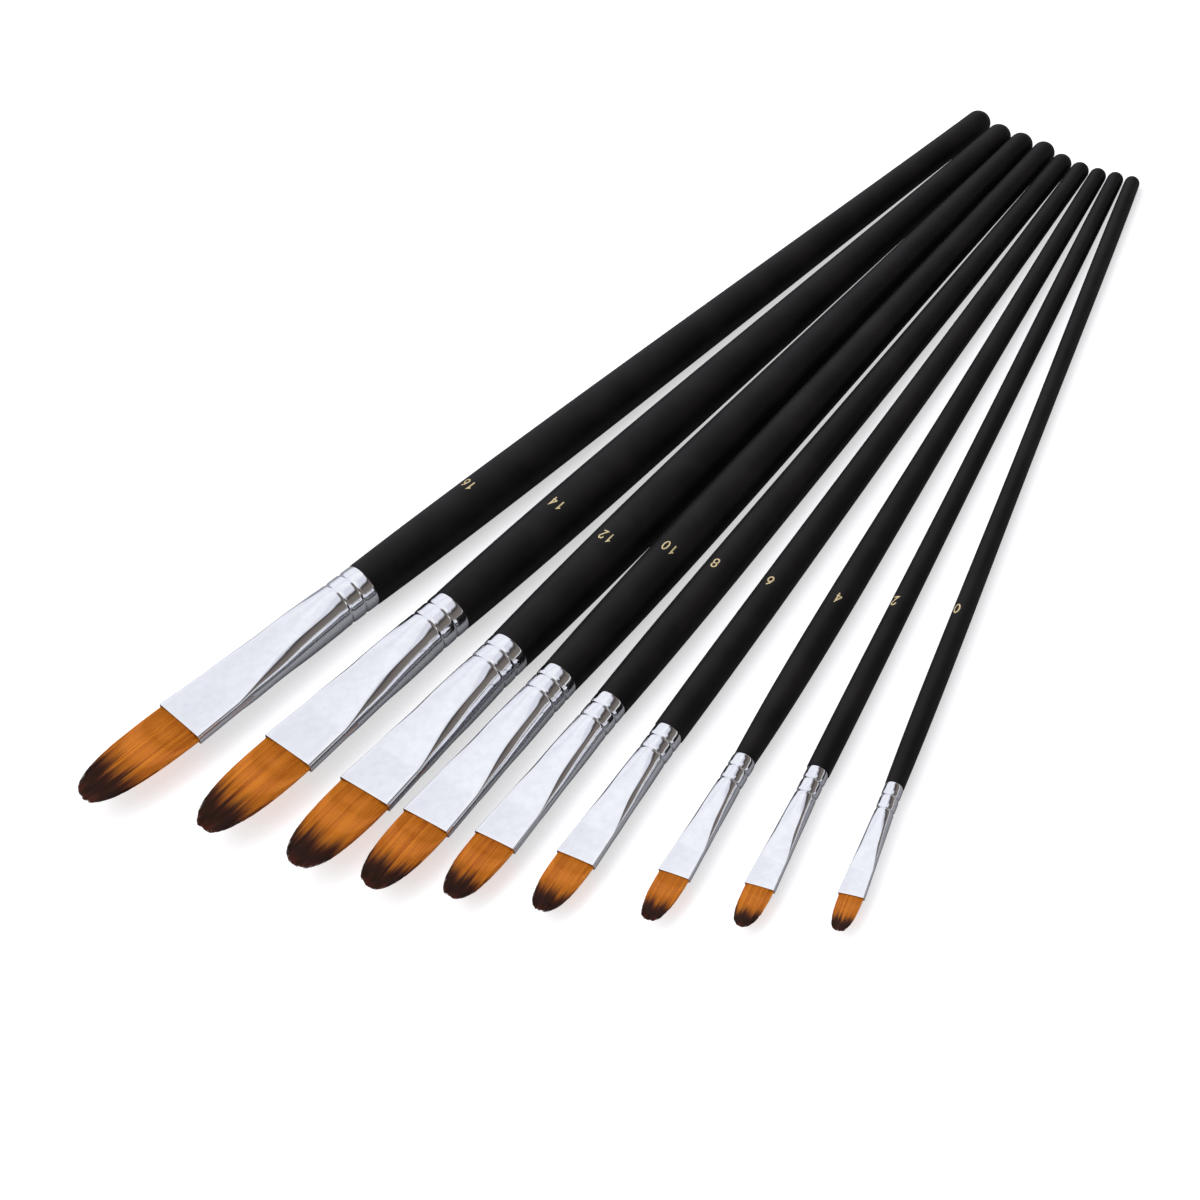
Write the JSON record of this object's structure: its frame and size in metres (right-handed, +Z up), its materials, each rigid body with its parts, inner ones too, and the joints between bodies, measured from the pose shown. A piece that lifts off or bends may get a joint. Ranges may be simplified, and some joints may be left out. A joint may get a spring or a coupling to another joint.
{
  "type": "filbert paint brush set",
  "caption": "Long-handled filbert brushes in graded sizes, laid side by side with handle ends together and hair fanned out; black handles, crimped bright ferrules, two-tone hair.",
  "frame": {"origin": "middle of the set's outline, on the table it lies on", "axes": "+Z up from the table; +X to the right along the longest side of the outline; the handle ends point between +X and +Y and the hair towards -X and -Y"},
  "size_m": [0.3042, 0.2622, 0.0131],
  "materials": {
    "lacquer": "matt black lacquer on wood",
    "nickel": "bright nickel plate, seamless",
    "resin": "cured epoxy",
    "hair": "two-tone synthetic filament, golden brown with dark tips",
    "foil": "pale gold stamping foil"
  },
  "bodies": {
    "brush_16": {"handle_16": "lacquer", "ferrule_16": "nickel", "glue_plug_16": "resin", "hair_root_16": "hair", "size_mark_16": "foil"},
    "tuft_16": {"hair_tuft_16": "hair"},
    "brush_14": {"handle_14": "lacquer", "ferrule_14": "nickel", "glue_plug_14": "resin", "hair_root_14": "hair", "size_mark_14": "foil"},
    "tuft_14": {"hair_tuft_14": "hair"},
    "brush_12": {"handle_12": "lacquer", "ferrule_12": "nickel", "glue_plug_12": "resin", "hair_root_12": "hair", "size_mark_12": "foil"},
    "tuft_12": {"hair_tuft_12": "hair"},
    "brush_10": {"handle_10": "lacquer", "ferrule_10": "nickel", "glue_plug_10": "resin", "hair_root_10": "hair", "size_mark_10": "foil"},
    "tuft_10": {"hair_tuft_10": "hair"},
    "brush_8": {"handle_8": "lacquer", "ferrule_8": "nickel", "glue_plug_8": "resin", "hair_root_8": "hair", "size_mark_8": "foil"},
    "tuft_8": {"hair_tuft_8": "hair"},
    "brush_6": {"handle_6": "lacquer", "ferrule_6": "nickel", "glue_plug_6": "resin", "hair_root_6": "hair", "size_mark_6": "foil"},
    "tuft_6": {"hair_tuft_6": "hair"},
    "brush_4": {"handle_4": "lacquer", "ferrule_4": "nickel", "glue_plug_4": "resin", "hair_root_4": "hair", "size_mark_4": "foil"},
    "tuft_4": {"hair_tuft_4": "hair"},
    "brush_2": {"handle_2": "lacquer", "ferrule_2": "nickel", "glue_plug_2": "resin", "hair_root_2": "hair", "size_mark_2": "foil"},
    "tuft_2": {"hair_tuft_2": "hair"},
    "brush_0": {"handle_0": "lacquer", "ferrule_0": "nickel", "glue_plug_0": "resin", "hair_root_0": "hair", "size_mark_0": "foil"},
    "tuft_0": {"hair_tuft_0": "hair"}
  },
  "joints": [
    {"name": "flex_16", "type": "hinge", "parent": "brush_16", "child": "tuft_16", "pos_m": [-0.12733, -0.03006, 0.00742], "axis": [-0.5417, 0.8406, 0], "range_deg": [-12, 40], "stiffness_Nm_per_rad": 0.03001},
    {"name": "lift_14", "type": "slide", "parent": "brush_16", "child": "brush_14", "axis": [0, 0, 1], "range_m": [0, 0.12]},
    {"name": "flex_14", "type": "hinge", "parent": "brush_14", "child": "tuft_14", "pos_m": [-0.10176, -0.04786, 0.00764], "axis": [-0.6004, 0.7997, 0], "range_deg": [-12, 40], "stiffness_Nm_per_rad": 0.02754},
    {"name": "lift_12", "type": "slide", "parent": "brush_16", "child": "brush_12", "axis": [0, 0, 1], "range_m": [0, 0.12]},
    {"name": "flex_12", "type": "hinge", "parent": "brush_12", "child": "tuft_12", "pos_m": [-0.08488, -0.06569, 0.00745], "axis": [-0.6481, 0.7615, 0], "range_deg": [-12, 40], "stiffness_Nm_per_rad": 0.02327},
    {"name": "lift_10", "type": "slide", "parent": "brush_16", "child": "brush_10", "axis": [0, 0, 1], "range_m": [0, 0.12]},
    {"name": "flex_10", "type": "hinge", "parent": "brush_10", "child": "tuft_10", "pos_m": [-0.07174, -0.07772, 0.00654], "axis": [-0.6769, 0.7361, 0], "range_deg": [-12, 40], "stiffness_Nm_per_rad": 0.01729},
    {"name": "lift_8", "type": "slide", "parent": "brush_16", "child": "brush_8", "axis": [0, 0, 1], "range_m": [0, 0.12]},
    {"name": "flex_8", "type": "hinge", "parent": "brush_8", "child": "tuft_8", "pos_m": [-0.05681, -0.08685, 0.00523], "axis": [-0.7046, 0.7096, 0], "range_deg": [-12, 40], "stiffness_Nm_per_rad": 0.01204},
    {"name": "lift_6", "type": "slide", "parent": "brush_16", "child": "brush_6", "axis": [0, 0, 1], "range_m": [0, 0.12]},
    {"name": "flex_6", "type": "hinge", "parent": "brush_6", "child": "tuft_6", "pos_m": [-0.03945, -0.09667, 0.00449], "axis": [-0.7396, 0.673, 0], "range_deg": [-12, 40], "stiffness_Nm_per_rad": 0.00949},
    {"name": "lift_4", "type": "slide", "parent": "brush_16", "child": "brush_4", "axis": [0, 0, 1], "range_m": [0, 0.12]},
    {"name": "flex_4", "type": "hinge", "parent": "brush_4", "child": "tuft_4", "pos_m": [-0.01843, -0.10709, 0.00411], "axis": [-0.7826, 0.6225, 0], "range_deg": [-12, 40], "stiffness_Nm_per_rad": 0.00621},
    {"name": "lift_2", "type": "slide", "parent": "brush_16", "child": "brush_2", "axis": [0, 0, 1], "range_m": [0, 0.12]},
    {"name": "flex_2", "type": "hinge", "parent": "brush_2", "child": "tuft_2", "pos_m": [-0.00055, -0.11545, 0.00357], "axis": [-0.8161, 0.5779, 0], "range_deg": [-12, 40], "stiffness_Nm_per_rad": 0.00479},
    {"name": "lift_0", "type": "slide", "parent": "brush_16", "child": "brush_0", "axis": [0, 0, 1], "range_m": [0, 0.12]},
    {"name": "flex_0", "type": "hinge", "parent": "brush_0", "child": "tuft_0", "pos_m": [0.0185, -0.12329, 0.00334], "axis": [-0.8499, 0.527, 0], "range_deg": [-12, 40], "stiffness_Nm_per_rad": 0.00349}
  ]
}
